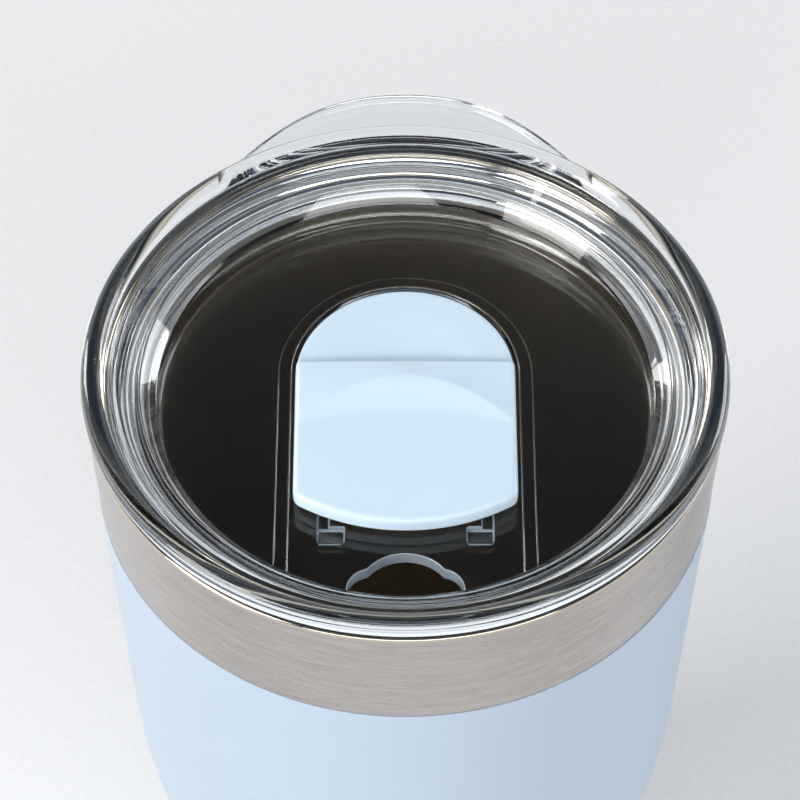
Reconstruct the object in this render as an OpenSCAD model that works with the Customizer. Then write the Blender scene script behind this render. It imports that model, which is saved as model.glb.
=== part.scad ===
// Double-wall vacuum tumbler with a clear press-in lid and a sliding closure.
// Millimetres. +Z is up, the origin is the centre of the plane that the tumbler stands on, and the
// drinking side faces -Y. The slider is drawn open and the lid pressed home.

/* [Tumbler] */
// Height of the steel body without its lid
body_h = 162; // [150:1:200]
// Outer radius at the mouth
rim_r = 44.8; // [40:0.1:54]
// Taper of the wall on each side, in degrees
taper = 2.6; // [1.5:0.1:3.2]
// Depth below the mouth at which the wall starts to curve in
waist_depth = 70; // [55:1:84]
// Length of the inward curve
waist_len = 54; // [40:1:65]
// How far the curve pulls the wall in
waist_drop = 5.2; // [2:0.1:6.5]
// Rounding of the bottom edge
foot_corner_r = 4; // [3:0.1:6]
// Height of the bare steel band below the mouth
band_h = 19.4; // [10:0.1:30]

/* [Walls] */
// Thickness of the steel sheet
sheet_t = 0.5; // [0.4:0.05:0.7]
// Whole double wall, from the outer face to the inner face
wall_t = 3.2; // [2.6:0.1:4.5]
// Thickness of the coat
coat_t = 0.15; // [0.1:0.01:0.25]
// Thickness of the foil round the liner
foil_t = 0.12; // [0.1:0.01:0.2]
// Height of the liner's floor above the table
floor_z = 9; // [8.6:0.1:14]
// Rounding between the liner's wall and its floor
liner_corner_r = 8; // [5:0.5:12]
// Height of the seam between the liner and its bottom, above the floor
seam_h = 14; // [13:1:20]

/* [Base] */
// Width of the ring that the tumbler stands on
foot_ring_w = 5; // [3:0.5:8]
// How far the middle of the base cap is raised
foot_rise = 1.5; // [1:0.1:1.7]
// Height of the vacuum disc above the table
port_z = 3.2; // [2.9:0.1:3.6]
// Radius of the getter pellet
getter_r = 4; // [3:0.5:6]

/* [Lid] */
// How far the lid's flange stands out past the mouth
overhang = 0.25; // [0.1:0.05:1]
// Section radius of the rounded flange
bead_r = 1.6; // [1.4:0.05:2]
// Width of the lid's shoulder, from the mouth's inner face in to the deck
shoulder_w = 6.8; // [6.5:0.1:9]
// Depth of the deck's top face below the flange's underside
deck_drop = 7.5; // [6.5:0.1:9]
// Thickness of the deck
deck_t = 2; // [1.6:0.1:2.2]
// Depth of the ledge's outer edge below the flange's underside
ledge_drop = 1.3; // [1:0.1:1.5]
// Width of the sloping ledge round the deck
ledge_w = 2.6; // [1.8:0.1:2.8]
// Thickness of the skirt behind the gasket
skirt_t = 1.4; // [1.2:0.1:1.7]
// Depth of the skirt's lower edge below the flange's underside
skirt_h = 9.9; // [8.5:0.1:12]
// How far the thumb tab stands out from the flange
tab_reach = 6.9; // [4:0.1:12]
// Angle from the tab's middle to where it has shrunk to about a third
tab_spread = 28.6; // [20:0.1:32]
// Thickness of the thumb tab
tab_t = 1.6; // [1:0.1:2]
// Height of the tab's underside above the flange's underside
tab_lift = 0.1; // [0.1:0.1:0.6]

/* [Gasket] */
// Height of the gasket
gasket_h = 3.8; // [3:0.1:4.2]
// Depth of the gasket's groove in the skirt
groove_d = 1; // [0.6:0.1:1.2]
// Thickness of a sealing lip
lip_t = 0.6; // [0.4:0.05:0.8]

/* [Slider] */
// Width of the slider
slider_w = 31; // [28:0.5:34]
// Radius of the slider's bowed front edge
front_r = 28; // [24:0.5:40]
// How far the slider travels to shut
travel = 12; // [10.4:0.1:13]
// Height of the slider's flat top above the deck
slider_h = 3.1; // [3:0.1:4.5]
// Height of the thin tail above the deck
tail_h = 1.3; // [1.1:0.1:1.8]
// Place of the step down to the tail
step_y = 6.05; // [5.5:0.05:9]
// Height of the thumb crest above the flat top
crest_h = 1.55; // [0.8:0.05:2]
// Depth of the finger dish in the tail
dish_d = 0.4; // [0.2:0.05:0.6]

/* [Guides] */
// Height of the raised rib round the slider
rib_h = 1; // [0.6:0.1:2]
// Width of the raised rib
rib_w = 2.1; // [1.5:0.1:2.4]
// Inner half-width between the two guide flanges
guide_in = 8.8; // [8:0.1:10]
// Width of a guide flange with its web
guide_w = 3.3; // [2.5:0.1:3.6]
// Thickness of the guide's flange
guide_t = 0.6; // [0.5:0.05:0.9]
// Thickness of the sliding foot
foot_t = 0.6; // [0.5:0.05:0.8]
// Thickness of the seal under the foot
seal_t = 0.5; // [0.3:0.05:0.6]

/* [Drinking slot] */
// Half the distance between the centres of the slot's rounded ends
slot_half = 4.9; // [3:0.1:5.2]
// Radius of the slot's rounded ends
slot_end_r = 3.4; // [2.5:0.1:3.6]
// Radius of the straw notch
straw_r = 6.5; // [4:0.1:7]
// Distance from the deck's edge back to the notch's rear edge
slot_depth = 9.4; // [8.4:0.1:9.8]
// Width of the strip of deck in front of the slot
slot_strip = 2.4; // [2.2:0.1:3]

/* [Hidden] */
$fn = 96;

// Gaps between pieces
seat_gap = 0.2;      // flange over the mouth
slide_gap = 0.3;     // slider's tail over the deck
rim_gap = 0.7;       // rim of the slider's thick part over the deck
run_gap = 0.15;      // foot and seal to the deck and the guides
side_gap = 0.5;      // slider to the rib, and stem to the guides
gasket_gap = 0.2;    // gasket lips to the liner
skirt_gap = 0.5;     // skirt to the liner
thin_gap = 0.1;      // foil and gasket to what they lie against
stop_gap = 0.7;      // front of the shut slider to the recess wall

// Heights of the stack
lid_z = body_h + seat_gap;
deck_z = lid_z - deck_drop;
foot_lift = 0.5;
corner_z = foot_lift + foot_corner_r;
seam_z = floor_z + seam_h;
steps = 20;

// Smooth blend from 0 to 1
function blend(t) = let (u = min(max(t, 0), 1)) u * u * (3 - 2 * u);

// Outer radius of the shell at height z
function wall_r(z) = rim_r - tan(taper) * (body_h - z)
                     - waist_drop * blend((body_h - z - waist_depth) / waist_len);

// Heights at which the wall's outline has a point, between two heights
function wall_stops(low, high) = concat(
    [low],
    [for (k = [0 : steps])
        let (z = body_h - waist_depth - waist_len * (1 - k / steps))
        if (z > low + 0.5 && z < high - 0.5) z],
    [high]);

// Wall outline at a depth t inside the outer face
function wall_line(t, low, high) = [for (z = wall_stops(low, high)) [wall_r(z) - t, z]];

// Points of an arc
function arc(c, r, from, to, n = 8) =
    [for (k = [0 : n]) let (a = from + (to - from) * k / n) c + r * [cos(a), sin(a)]];

function reversed(line) = [for (k = [len(line) - 1 : -1 : 0]) line[k]];

// Shell outline with its rounded bottom edge, at a depth t inside the outer face
function shell_line(t, high) = concat(
    arc([wall_r(corner_z) - foot_corner_r, corner_z], foot_corner_r - t, -90, 0),
    [for (p = wall_line(t, corner_z, high)) if (p[1] > corner_z) p]);

cap_r = wall_r(corner_z) - foot_corner_r;

module outer_shell() {
    color("silver")
    rotate_extrude()
    polygon(concat(shell_line(0, body_h - sheet_t), reversed(shell_line(sheet_t, body_h - sheet_t))));
}

module powder_coat() {
    top = body_h - band_h;
    color("lightsteelblue")
    rotate_extrude()
    polygon(concat(shell_line(-coat_t, top), reversed(shell_line(0, top))));
}

// Liner: straight up from the seam, out over the mouth to the shell's outer face
module inner_liner() {
    inner_top = rim_r - wall_t;
    round_r = 0.8;
    edge_r = sheet_t - 0.05;
    low = seam_z;
    high = body_h - sheet_t;
    color("gainsboro")
    rotate_extrude()
    polygon(concat(
        wall_line(wall_t, low, body_h - round_r),
        arc([inner_top + round_r, body_h - round_r], round_r, 170, 90, 6),
        arc([wall_r(high) - edge_r, body_h - edge_r], edge_r, 90, 0, 4),
        [[wall_r(high), high]],
        reversed(wall_line(wall_t - sheet_t, low, high))));
}

module liner_bottom() {
    r_in = wall_r(floor_z + liner_corner_r) - wall_t;
    c = [r_in - liner_corner_r, floor_z + liner_corner_r];
    color("lightgray")
    rotate_extrude()
    polygon(concat(
        [[0, floor_z - sheet_t]],
        arc(c, liner_corner_r + sheet_t, -90, 0),
        [[wall_r(seam_z) - wall_t + sheet_t, seam_z], [wall_r(seam_z) - wall_t, seam_z]],
        reversed(arc(c, liner_corner_r, -90, 0)),
        [[0, floor_z]]));
}

module heat_foil() {
    low = seam_z + 2;
    high = body_h - 12;
    depth = wall_t - sheet_t - thin_gap;
    color("whitesmoke")
    rotate_extrude()
    polygon(concat(wall_line(depth - foil_t, low, high), reversed(wall_line(depth, low, high))));
}

// Disc that closes the shell, with an upturned edge and a raised dimple for the port
port_t = 0.7;
port_dimple_r = 5;
port_hole_r = 0.9;
port_rise = 0.7;

module vacuum_base() {
    edge = wall_r(corner_z) - sheet_t;
    edge_h = 2.6;
    color("darkgray")
    rotate_extrude()
    polygon([
        [port_hole_r, port_z + port_rise],
        [port_dimple_r - port_rise, port_z + port_rise],
        [port_dimple_r, port_z],
        [edge - 1.4, port_z],
        [edge - 0.1, corner_z],
        [edge, corner_z + edge_h],
        [edge - port_t, corner_z + edge_h],
        [edge - port_t - 0.1, corner_z + 0.4],
        [edge - 1.9, port_z + port_t],
        [port_dimple_r + 0.3, port_z + port_t],
        [port_dimple_r - port_rise + 0.3, port_z + port_rise + port_t],
        [port_hole_r, port_z + port_rise + port_t]
    ]);
}

// Bead in the dimple, with a short plug in the hole
module vacuum_seal() {
    bead = 2.4;
    color("dimgray")
    translate([0, 0, port_z])
    rotate_extrude()
    polygon(concat(
        [[0, 0.05]],
        arc([bead - 0.4, 0.45], 0.4, -90, 0, 4),
        [[bead, port_rise], [port_hole_r, port_rise],
         [port_hole_r, port_rise + port_t], [0, port_rise + port_t]]));
}

// Pellet and clip stand beside the dimple
getter_y = 16;
getter_h = 1.6;
clip_t = 0.3;
clip_w = 3;
disc_top = port_z + port_t;

module getter() {
    color("saddlebrown")
    translate([0, getter_y, disc_top])
    cylinder(r = getter_r, h = getter_h);
}

module clip_side() {
    linear_extrude(height = clip_w, center = true)
    polygon([
        [0, getter_h + clip_t],
        [0, getter_h],
        [getter_r + 0.1, getter_h],
        [getter_r + 0.1, 0],
        [getter_r + 2.4, 0],
        [getter_r + 2.4, clip_t],
        [getter_r + 0.1 + clip_t, clip_t],
        [getter_r + 0.1 + clip_t, getter_h + clip_t]
    ]);
}

module getter_clip() {
    color("silver")
    translate([0, getter_y, disc_top])
    rotate([90, 0, 0])
    union() {
        clip_side();
        mirror([1, 0, 0]) clip_side();
    }
}

// Cap with the ring that the tumbler stands on; its upturned edge meets the shell's turned-in end
module base_cap() {
    inner = cap_r - foot_ring_w;
    ramp = 1.5;
    color("silver")
    rotate_extrude()
    polygon([
        [0, foot_rise],
        [inner - ramp, foot_rise],
        [inner, 0],
        [cap_r - 0.4, 0],
        [cap_r, 0.4],
        [cap_r, foot_lift + sheet_t],
        [cap_r - sheet_t, foot_lift + sheet_t],
        [cap_r - sheet_t, sheet_t],
        [inner + 0.2, sheet_t],
        [inner - ramp + 0.2, foot_rise + sheet_t],
        [0, foot_rise + sheet_t]
    ]);
}

// Lid radii, each worked out from the mouth or the deck
recess_r = rim_r - wall_t - shoulder_w;
flange_r = rim_r + overhang;
bead_x = flange_r - bead_r;
skirt_r = rim_r - wall_t - skirt_gap;
groove_r = skirt_r - groove_d;
moat_out = groove_r - skirt_t;
moat_in = recess_r + 1.7;
ledge_r = recess_r + ledge_w;
land_r = skirt_r - tan(taper) * skirt_h;
groove_top = (skirt_h - gasket_h) / 2 + 0.7;

// Section of the clear moulding without its tab, rib, guides and slot
module lid_section() {
    shoulder_r = flange_r - 2 * bead_r - 0.1;
    corner = 0.6;
    moat_top = -ledge_drop - 2.6;
    polygon(concat(
        // deck, recess wall and sloping ledge
        [[0, -deck_drop]],
        arc([recess_r - corner, -deck_drop + corner], corner, -90, 0, 5),
        arc([recess_r + 0.5, -ledge_drop - 2.3], 0.5, 180, 135, 3),
        arc([ledge_r - 0.25, -ledge_drop - 0.25], 0.25, 135, 0, 5),
        // groove, upper wall and shoulder
        arc([ledge_r + 0.4, -ledge_drop - 0.45], 0.3, 180, 330, 6),
        [[shoulder_r - 1.5, bead_r - 0.5], [shoulder_r - 0.9, bead_r - 0.15]],
        [[shoulder_r - 0.1, bead_r - 0.05]],
        // rounded flange
        arc([bead_x, bead_r], bead_r, 172, -90, 24),
        // skirt with the gasket's groove
        [[skirt_r + 0.4, 0], [skirt_r, -0.4]],
        [[skirt_r, -groove_top], [groove_r, -groove_top]],
        [[groove_r, -groove_top - gasket_h], [land_r, -groove_top - gasket_h]],
        arc([land_r - 0.5, -skirt_h + 0.5], 0.5, 0, -90, 4),
        arc([moat_out + 0.4, -skirt_h + 0.4], 0.4, -90, -180, 4),
        // hollow between the skirt and the recess wall
        arc([moat_out - 0.5, moat_top - 0.5], 0.5, 0, 90, 4),
        [[ledge_r - 0.2, moat_top], [moat_in, moat_top - 0.8]],
        arc([moat_in - 0.8, -deck_drop - deck_t + 0.8], 0.8, 0, -90, 5),
        [[0, -deck_drop - deck_t]]));
}

// Tab outline about +Y: a bell curve on the flange's circle, from the middle of its rounded section
function tab_line_r(a) = bead_x + (tab_reach + bead_r) * exp(-pow(abs(a) / tab_spread, 2.6));

module thumb_tab() {
    n = 36;
    end_angle = 1.6 * tab_spread;
    core_r = bead_x - 1;
    translate([0, 0, tab_lift])
    linear_extrude(height = tab_t)
    polygon(concat(
        [for (k = [-n : n]) let (a = end_angle * k / n) tab_line_r(a) * [sin(a), cos(a)]],
        [for (k = [n : -1 : -n]) let (a = end_angle * k / n) core_r * [sin(a), cos(a)]]));
}

// Raised rib: straight sides from the front wall and a half circle behind the slider
rib_in = slider_w / 2 + side_gap;
rib_y = 5.3;

module rib_plan(r) {
    translate([0, rib_y]) circle(r = r);
    translate([-r, -recess_r]) square([2 * r, recess_r + rib_y]);
}

module rib() {
    translate([0, 0, -deck_drop - 0.2])
    linear_extrude(height = rib_h + 0.2)
    intersection() {
        difference() {
            rib_plan(rib_in + rib_w);
            rib_plan(rib_in);
        }
        circle(r = recess_r + 0.6);
    }
}

// Slider places: its front when open, the centre of its bowed front, and its thin outer wall
slider_front = recess_r - travel - stop_gap;
bow_y = front_r - slider_front;
slider_wall = 1;

// Guides: two angle sections with their flanges turned inward over the foot, always under the slider
guide_under = run_gap + seal_t + foot_t + run_gap;
guide_top = guide_under + guide_t;
foot_half = guide_in + 2.2;
guide_web = guide_w - (foot_half - guide_in) - run_gap * 2;
guide_front = sqrt(pow(front_r - slider_wall, 2) - pow(guide_in + guide_w, 2)) - bow_y - side_gap;
guide_back = travel - step_y + slider_wall + side_gap;
guide_len = guide_front - guide_back;

module guide() {
    web_x = foot_half + 2 * run_gap;
    translate([0, -guide_front, -deck_drop - 0.2]) {
        translate([web_x, 0, 0]) cube([guide_web, guide_len, guide_top + 0.2]);
        translate([guide_in, 0, guide_under + 0.2]) cube([guide_w, guide_len, guide_t]);
    }
}

// Pocket in the deck in front of each guide, with a shallow channel back to it, left by the core
// that forms the flange
module pocket() {
    pocket_d = 1.1;
    pocket_w = guide_w + 0.4;
    pocket_len = 2.8;
    pocket_front = slider_front + 1.5;
    channel_d = 0.6;
    channel_w = 1.6;
    translate([guide_in - 0.4, -pocket_front, -deck_drop - pocket_d])
    cube([pocket_w, pocket_len, pocket_d + 1]);
    translate([guide_in - 0.4 + pocket_w - channel_w, -pocket_front, -deck_drop - channel_d])
    cube([channel_w, pocket_front - guide_front - side_gap, channel_d + 1]);
}

// Slot: a wide opening with rounded ends and a round straw notch behind it, kept off the front wall
module slot_plan() {
    straw_y = slot_depth - recess_r - straw_r;
    slot_y = straw_y + 0.7;
    intersection() {
        union() {
            for (side = [-1, 1])
                translate([side * slot_half, slot_y]) circle(r = slot_end_r);
            translate([-slot_half, slot_y - slot_end_r]) square([2 * slot_half, 2 * slot_end_r]);
            translate([0, straw_y]) circle(r = straw_r);
        }
        circle(r = recess_r - slot_strip);
    }
}

module lid_body() {
    color("white", 0.4)
    translate([0, 0, lid_z])
    difference() {
        union() {
            rotate_extrude() lid_section();
            thumb_tab();
            rib();
            guide();
            mirror([1, 0, 0]) guide();
        }
        translate([0, 0, -deck_drop - deck_t - 1])
        linear_extrude(height = deck_t + 2)
        slot_plan();
        pocket();
        mirror([1, 0, 0]) pocket();
    }
}

// Ring in the skirt's groove with two lips that reach up and out to the liner
module lid_gasket() {
    body_r = skirt_r + 0.05;
    top = -groove_top - thin_gap;
    bottom = -groove_top - gasket_h + thin_gap;
    lip_drop = 1.1;
    lip_rise = 0.5;
    color("lightgray", 0.7)
    translate([0, 0, lid_z])
    rotate_extrude()
    polygon(concat(
        [[groove_r, bottom], [body_r - 0.3, bottom]],
        [for (lip = [bottom + lip_drop - 0.3, top - lip_drop])
            let (reach = wall_r(lid_z + lip) - wall_t - gasket_gap)
            each [[body_r - 0.3, lip - lip_t], [reach, lip - lip_t + lip_rise],
                  [reach, lip + lip_rise], [body_r - 0.3, lip]]],
        [[body_r - 0.3, top], [groove_r, top]]));
}

// Slider outline: half-round tail, straight sides, rounded corners and a bowed front, all set in by d
function slider_line(d) =
    let (half = slider_w / 2,
         back_y = 5,
         corner = 2,
         corner_x = half - corner,
         corner_y = bow_y - sqrt(pow(front_r - corner, 2) - corner_x * corner_x),
         turn = asin(corner_x / (front_r - corner)))
    concat(
        arc([0, back_y], half - d, 0, 180, 32),
        arc([-corner_x, corner_y], corner - d, 180, 270 - turn, 5),
        arc([0, bow_y], front_r - d, 270 - turn, 270 + turn, 16),
        arc([corner_x, corner_y], corner - d, 270 + turn, 360, 5));

roof_t = slider_h - guide_top - 0.2;
hollow_top = slider_h - roof_t;

// Band of the slider between two values of y
module slider_band(y_low, y_high) {
    translate([-slider_w, y_low]) square([2 * slider_w, y_high - y_low]);
}

// Crest: a wedge across the slider, crowned from side to side
module crest() {
    half = slider_w / 2;
    crown_r = (half * half + crest_h * crest_h) / (2 * crest_h);
    crest_y = step_y - 3.75;
    intersection() {
        rotate([90, 0, 90])
        linear_extrude(height = slider_w, center = true)
        polygon([[crest_y - 5.7, -0.2], [crest_y - 5.7, 0], [crest_y, crest_h],
                 [step_y, 0.15], [step_y, -0.2]]);
        translate([0, step_y + 1, crest_h - crown_r])
        rotate([90, 0, 0])
        cylinder(r = crown_r, h = slider_front + step_y, $fn = 200);
        translate([0, 0, -1])
        linear_extrude(height = crest_h + 2)
        polygon(slider_line(0.02));
    }
}

module slider_cover() {
    tail_len = slider_w;
    dish_r = 9.5;
    ball_r = (dish_r * dish_r + dish_d * dish_d) / (2 * dish_d);
    color("powderblue")
    translate([0, 0, deck_z])
    difference() {
        union() {
            translate([0, 0, rim_gap])
            linear_extrude(height = slider_h - rim_gap)
            intersection() {
                polygon(slider_line(0));
                slider_band(-slider_front - 1, step_y);
            }
            translate([0, 0, slide_gap])
            linear_extrude(height = tail_h - slide_gap)
            intersection() {
                polygon(slider_line(0));
                slider_band(step_y - 0.5, step_y + tail_len);
            }
            translate([0, 0, slider_h]) crest();
        }
        // room for the foot and the guides
        translate([0, 0, -1])
        linear_extrude(height = hollow_top + 1)
        intersection() {
            polygon(slider_line(slider_wall));
            slider_band(-slider_front - 1, step_y - slider_wall);
        }
        // finger dish, behind the step only
        intersection() {
            translate([0, step_y, tail_h - dish_d + ball_r]) sphere(r = ball_r, $fn = 200);
            translate([-slider_w, step_y, 0]) cube([2 * slider_w, tail_len, slider_h]);
        }
    }
}

// Foot plate and stem; the plate runs under the guides' flanges
foot_front = slider_front - slider_wall - 0.3;
foot_back = step_y - slider_wall - 1.5;

module foot_plan(inset) {
    intersection() {
        polygon(slider_line(slider_wall + 0.3));
        translate([-foot_half + inset, -slider_front])
        square([2 * (foot_half - inset), slider_front + foot_back - inset]);
    }
}

module slider_foot() {
    stem_half = guide_in - side_gap;
    plate_z = run_gap + seal_t;
    color("powderblue")
    translate([0, 0, deck_z + plate_z])
    union() {
        linear_extrude(height = foot_t) foot_plan(0);
        translate([0, 0, foot_t])
        linear_extrude(height = hollow_top - plate_z - foot_t)
        intersection() {
            foot_plan(0.5);
            translate([-stem_half, -foot_front + 1]) square([2 * stem_half, foot_front + foot_back]);
        }
    }
}

// Pad under the front of the foot, long enough to cover the slot when the slider is shut
module slider_seal() {
    seal_len = 10;
    color("gainsboro")
    translate([0, 0, deck_z + run_gap])
    linear_extrude(height = seal_t)
    intersection() {
        foot_plan(0);
        slider_band(-slider_front, -slider_front + 0.8 + seal_len);
    }
}

outer_shell();
powder_coat();
inner_liner();
liner_bottom();
heat_foil();
vacuum_base();
vacuum_seal();
getter();
getter_clip();
base_cap();
lid_body();
lid_gasket();
slider_cover();
slider_foot();
slider_seal();
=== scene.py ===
"""Looks of a double-wall steel tumbler with a clear press-in lid and a sliding closure.

Sizes are in millimetres in the tumbler's own frame: +Z is up, the origin is the middle of the plane
that the tumbler stands on, and the drinking side faces -Y. Meshes are written in metres.
"""

import logging
import math
from collections.abc import Sequence
from dataclasses import dataclass
from enum import Enum

import bmesh
import bpy
import numpy as np
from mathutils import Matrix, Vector


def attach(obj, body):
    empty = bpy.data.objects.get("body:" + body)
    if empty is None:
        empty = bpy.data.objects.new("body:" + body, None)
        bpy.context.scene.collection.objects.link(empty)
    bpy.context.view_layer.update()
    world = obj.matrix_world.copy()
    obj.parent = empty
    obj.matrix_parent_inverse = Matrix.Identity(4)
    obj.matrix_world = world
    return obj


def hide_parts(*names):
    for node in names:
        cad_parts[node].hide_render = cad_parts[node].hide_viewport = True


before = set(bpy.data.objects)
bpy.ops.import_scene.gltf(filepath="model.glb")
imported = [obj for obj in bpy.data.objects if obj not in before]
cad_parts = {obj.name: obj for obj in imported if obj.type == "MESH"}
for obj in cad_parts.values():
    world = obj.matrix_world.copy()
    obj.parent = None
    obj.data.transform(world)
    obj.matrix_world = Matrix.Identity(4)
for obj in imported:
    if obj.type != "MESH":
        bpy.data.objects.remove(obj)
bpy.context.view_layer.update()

# Metres in a millimetre, points along round and straight stretches, and limits for tidying meshes
MM = 0.001
ROUND_STEPS = 384
WALL_STEPS = 60
FRONT_STEPS = 33
FLOOR_STEPS = 96
CREASE_DEG = 32.0
NORMAL_WEIGHT = 60
REPEAT_GAP = 1e-5

# Keeps a division off 0, and how much a line pattern's height follows the distance from the axis
NOT_ZERO = 1e-9
RADIUS_SHARE = 1.7
LOG = logging.getLogger("tumbler")


# ---------------------------------------------------------------------------------------------
# Outlines: arrays of points in a plane
# ---------------------------------------------------------------------------------------------


def blend(t: np.ndarray) -> np.ndarray:
    """Smooth step from 0 to 1: u squared times (3 - 2u), with u held between 0 and 1."""
    u = np.clip(t, 0.0, 1.0)
    return u * u * (3.0 - 2.0 * u)


def unit(v: np.ndarray) -> np.ndarray:
    """Vectors along the last axis scaled to length 1, zero vectors left as they are."""
    size = np.linalg.norm(v, axis=-1, keepdims=True)
    return v / np.where(size < 1e-12, 1.0, size)


def corners(*rows: tuple[float, float, float]) -> np.ndarray:
    """Corner rows, each with two coordinates and the radius that rounds it."""
    return np.array(rows, dtype=float)


def plain(points: np.ndarray) -> np.ndarray:
    """Corner rows of radius 0 for points that already lie on a curve."""
    return np.column_stack([points, np.zeros(len(points))])


def bow(
    centre: tuple[float, float], radius: float, start: float, end: float, count: int
) -> np.ndarray:
    """Corner rows along an arc: centre plus radius times (cos a, sin a), a from start to end.

    Args:
        centre: Middle of the arc.
        radius: Its radius.
        start: First angle in degrees.
        end: Last angle in degrees.
        count: Number of points.

    Returns:
        Rows of two coordinates and a radius of 0.
    """
    a = np.radians(np.linspace(start, end, count))
    return plain(np.column_stack([centre[0] + radius * np.cos(a), centre[1] + radius * np.sin(a)]))


def without_repeats(points: np.ndarray, closed: bool) -> np.ndarray:
    """Drops each point that repeats the one before it.

    Args:
        points: Points of the outline in order.
        closed: Whether the first point also follows the last.

    Returns:
        The points that are left.
    """
    gap = np.linalg.norm(points - np.roll(points, 1, axis=0), axis=1)
    keep = gap > REPEAT_GAP
    if not closed:
        keep[0] = True
    return points[keep]


def rounded(rows: np.ndarray, closed: bool = True, count: int = 7) -> np.ndarray:
    """Outline through corner rows, with each corner replaced by an arc that touches both sides.

    The arc's centre lies on the corner's bisector at radius / sin(half the corner's angle), and its
    points are the centre plus a turn from the first touching point to the second.

    Args:
        rows: Two coordinates and a radius for each corner.
        closed: Whether the outline joins its own start.
        count: Points on each arc.

    Returns:
        Points of the outline.
    """
    p, radius = rows[:, :2], rows[:, 2].copy()
    if not closed:
        radius[[0, -1]] = 0.0
    back = unit(np.roll(p, 1, axis=0) - p)
    ahead = unit(np.roll(p, -1, axis=0) - p)
    half = 0.5 * np.arccos(np.clip(np.sum(back * ahead, axis=1), -1.0, 1.0))
    half = np.clip(half, 1e-4, math.pi / 2 - 1e-4)
    centre = p + unit(back + ahead) * (radius / np.sin(half))[:, None]
    reach = (radius / np.tan(half))[:, None]
    first = p + back * reach - centre
    last = p + ahead * reach - centre
    turn = (math.pi - 2.0 * half)[:, None, None]
    s = np.linspace(0.0, 1.0, count)[None, :, None]
    spread = np.sin((1 - s) * turn) * first[:, None] + np.sin(s * turn) * last[:, None]
    spread = spread / np.sin(turn)
    arcs = centre[:, None] + spread
    arcs = np.where(radius[:, None, None] > 0, arcs, p[:, None])
    return without_repeats(arcs.reshape(-1, 2), closed)


def eased(count: int) -> np.ndarray:
    """Shares from 0 to 1 that crowd a little at both ends: u / 2 plus (1 - cos pi u) / 4."""
    u = np.linspace(0.0, 1.0, count)
    return 0.5 * u + 0.25 * (1 - np.cos(math.pi * u))


def inset(loop: np.ndarray, depth: float) -> np.ndarray:
    """Closed outline moved inwards by depth along the normal of its neighbours' chord.

    Args:
        loop: Points of the outline, anticlockwise.
        depth: Distance to move in, negative to move out.

    Returns:
        The moved points.
    """
    chord = unit(np.roll(loop, -1, axis=0) - np.roll(loop, 1, axis=0))
    return loop + depth * np.column_stack([-chord[:, 1], chord[:, 0]])


# ---------------------------------------------------------------------------------------------
# Surfaces: grids of vertices with their faces
# ---------------------------------------------------------------------------------------------


@dataclass
class Surface:
    """Vertices in millimetres and groups of faces, each group with the same number of corners."""

    points: np.ndarray
    faces: list[np.ndarray]

    def to_object(self, name: str) -> bpy.types.Object:
        """Writes the surface into a new mesh object at the origin, with its faces turned outwards.

        Args:
            name: Name of the object.

        Returns:
            The new object.
        """
        mesh = bpy.data.meshes.new(name)
        sizes = np.concatenate([np.full(len(group), group.shape[1]) for group in self.faces])
        loops = np.concatenate([group.ravel() for group in self.faces])
        mesh.vertices.add(len(self.points))
        mesh.vertices.foreach_set("co", (self.points * MM).ravel())
        mesh.loops.add(len(loops))
        mesh.loops.foreach_set("vertex_index", loops)
        mesh.polygons.add(len(sizes))
        mesh.polygons.foreach_set("loop_start", np.concatenate([[0], np.cumsum(sizes)[:-1]]))
        mesh.update(calc_edges=True)
        mesh.validate()
        work = bmesh.new()
        work.from_mesh(mesh)
        bmesh.ops.recalc_face_normals(work, faces=work.faces)
        work.to_mesh(mesh)
        work.free()
        piece = bpy.data.objects.new(name, mesh)
        bpy.context.scene.collection.objects.link(piece)
        return piece


def strips(rows: int, columns: int, wrap_rows: bool, wrap_columns: bool) -> np.ndarray:
    """Faces of a grid whose vertex number is row times columns plus column.

    Args:
        rows: Number of rows.
        columns: Number of columns.
        wrap_rows: Whether the last row joins the first.
        wrap_columns: Whether the last column joins the first.

    Returns:
        One row of four vertex numbers for each face.
    """
    i, j = np.meshgrid(
        np.arange(rows if wrap_rows else rows - 1),
        np.arange(columns if wrap_columns else columns - 1),
        indexing="ij",
    )
    i, j = i.ravel(), j.ravel()
    k, m = (i + 1) % rows, (j + 1) % columns
    return np.column_stack([i * columns + j, i * columns + m, k * columns + m, k * columns + j])


def turned(section: np.ndarray, closed: bool = True) -> Surface:
    """Section in (radius, height) carried round the Z axis: (r cos a, r sin a, z).

    A closed section gives a ring. An open one starts and ends on the axis, where each end becomes
    one vertex with a fan of triangles.

    Args:
        section: Points of the section.
        closed: Whether the section joins its own start.

    Returns:
        The closed surface.
    """
    steps = ROUND_STEPS
    a = np.linspace(0.0, 2.0 * math.pi, steps, endpoint=False)
    body = section if closed else section[1:-1]
    r, z = body[:, :1], body[:, 1:]
    grid = np.stack([r * np.cos(a), r * np.sin(a), np.broadcast_to(z, (len(body), steps))], axis=-1)
    points = grid.reshape(-1, 3)
    faces = [strips(len(body), steps, closed, True)]
    if not closed:
        poles = np.array([[0.0, 0.0, section[0, 1]], [0.0, 0.0, section[-1, 1]]])
        ring = np.arange(steps)
        after = np.roll(ring, -1)
        low, high = len(points), len(points) + 1
        last = (len(body) - 1) * steps
        faces.append(np.column_stack([np.full(steps, low), after, ring]))
        faces.append(np.column_stack([np.full(steps, high), last + ring, last + after]))
        points = np.vstack([points, poles])
    return Surface(points, faces)


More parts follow.
